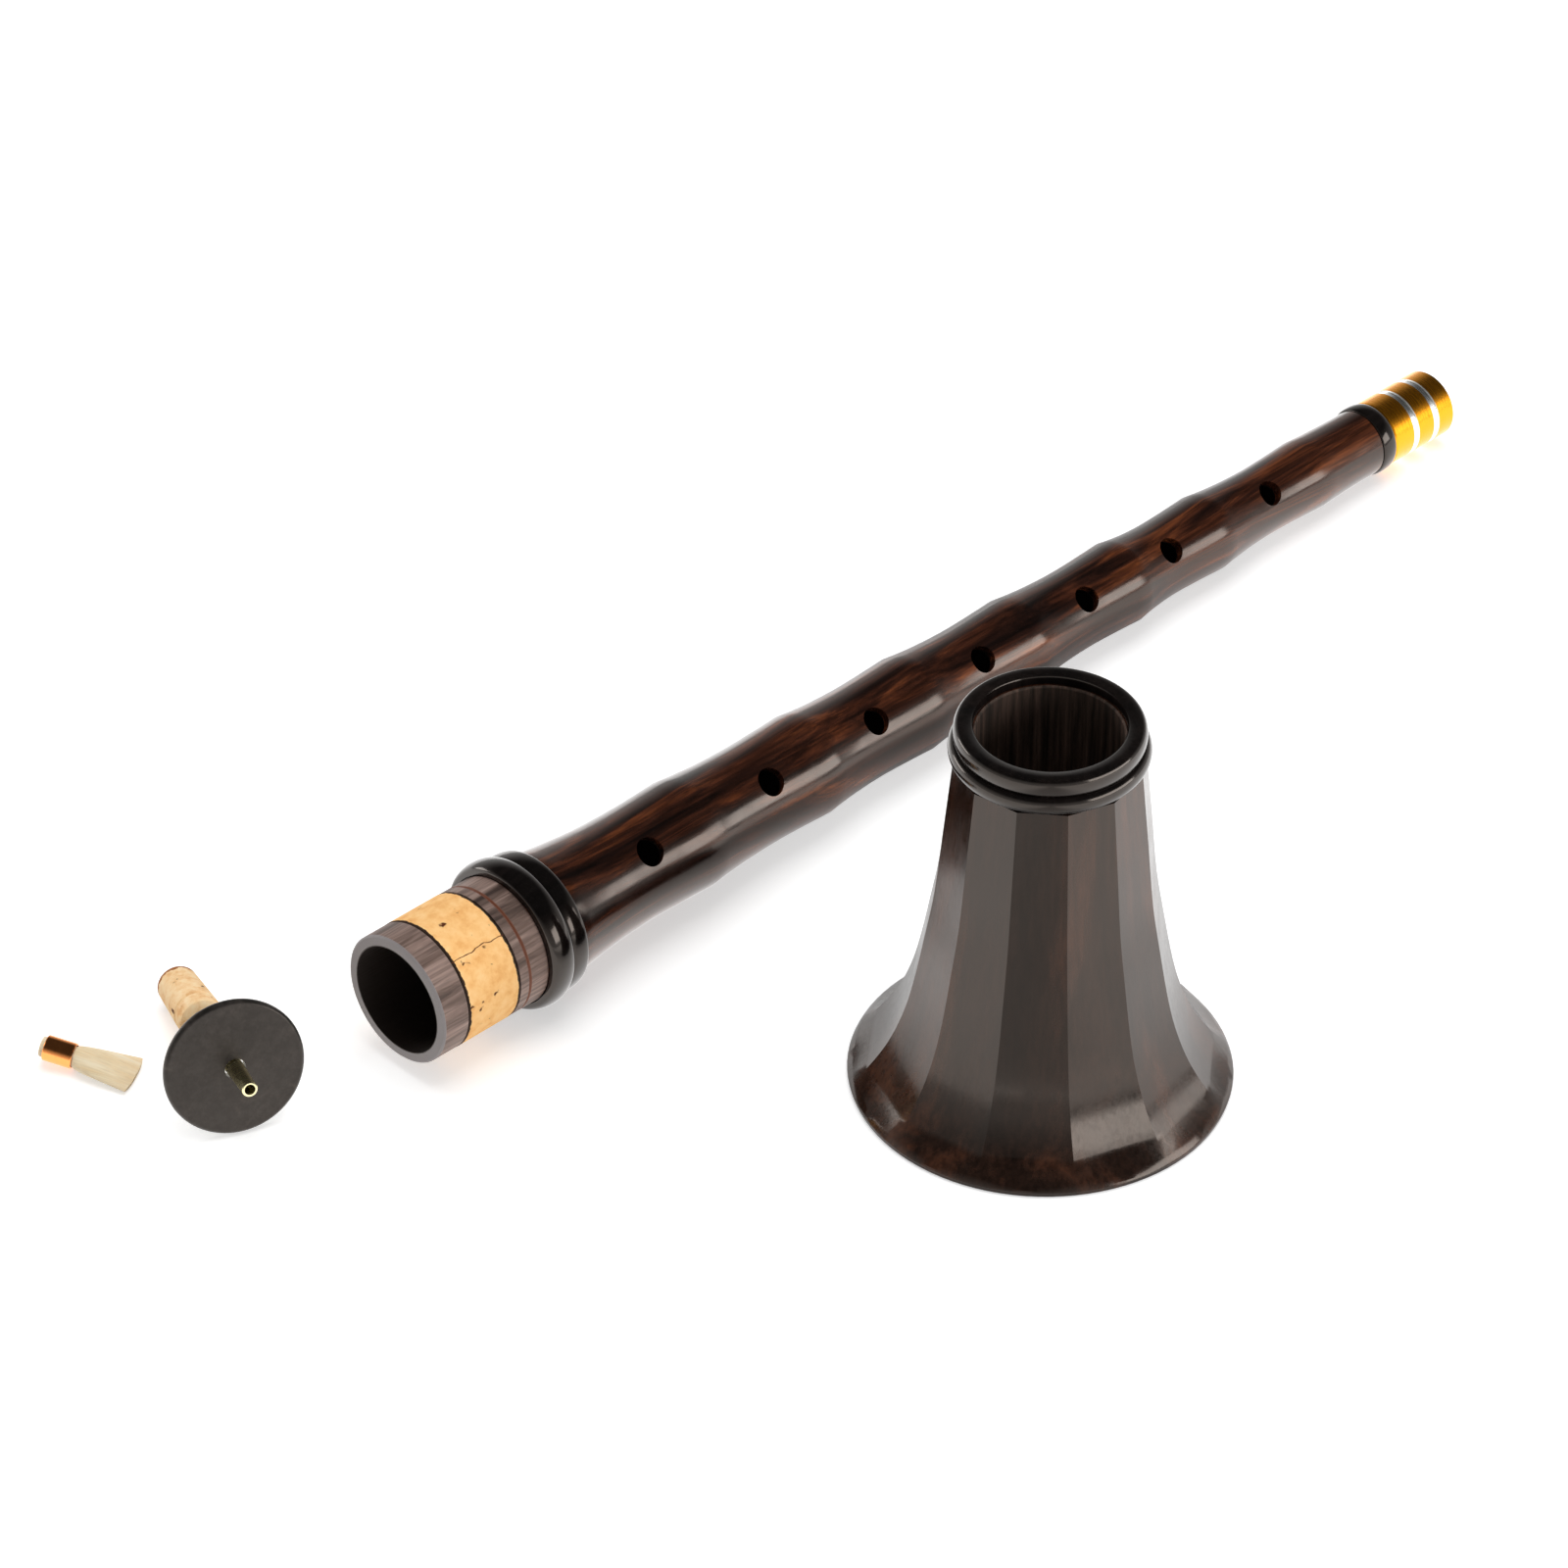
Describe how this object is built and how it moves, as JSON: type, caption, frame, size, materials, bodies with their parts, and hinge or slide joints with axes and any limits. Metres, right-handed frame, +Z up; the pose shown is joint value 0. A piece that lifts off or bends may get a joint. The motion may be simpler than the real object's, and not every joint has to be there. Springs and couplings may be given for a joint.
{
  "type": "suona",
  "caption": "Small conical double-reed shawm taken apart: turned wooden tube with finger holes, faceted flared bell, corked staple with lip disc, and flat reed.",
  "frame": {"origin": "bottom centre of the box round all the pieces, on the floor that they lie on", "axes": "+X along the lying tube from its bell end to its sleeve, level with the floor; +Z up; -Y the side that the bell stands on"},
  "size_m": [0.3954, 0.1986, 0.0945],
  "materials": {
    "rosewood": "glossy lacquer, matte on the tenon",
    "black_wood": "polished, nearly black",
    "bell_wood": "semi-gloss outside, rough in the bore",
    "ebony": "satin",
    "cork": "matte cork with fine pores",
    "gold_anodised": "gold anodised with two bright turned grooves",
    "brass": "drawn brass, satin",
    "copper": "polished copper",
    "cane": "scraped cane, matte"
  },
  "bodies": {
    "tube": {"body_tube": "rosewood", "tenon_cork": "cork", "tenon_ring": "black_wood", "head_ring": "black_wood", "head_sleeve": "gold_anodised"},
    "bell": {"bell": "bell_wood", "bell_ring": "black_wood"},
    "staple": {"staple_tube": "brass", "staple_cork": "cork"},
    "disc": {"lip_disc": "ebony"},
    "reed": {"reed_cane": "cane", "reed_ferrule": "copper"}
  },
  "joints": [
    {"name": "bell_lift", "type": "slide", "parent": "tube", "child": "bell", "axis": [0, 0, 1], "range_m": [0, 0.12]},
    {"name": "staple_lift", "type": "slide", "parent": "tube", "child": "staple", "axis": [0, 0, 1], "range_m": [0, 0.08]},
    {"name": "disc_slide", "type": "slide", "parent": "staple", "child": "disc", "axis": [-0.3945, -0.8861, 0.2432], "range_m": [0, 0.014]},
    {"name": "reed_lift", "type": "slide", "parent": "tube", "child": "reed", "axis": [0, 0, 1], "range_m": [0, 0.06]}
  ]
}
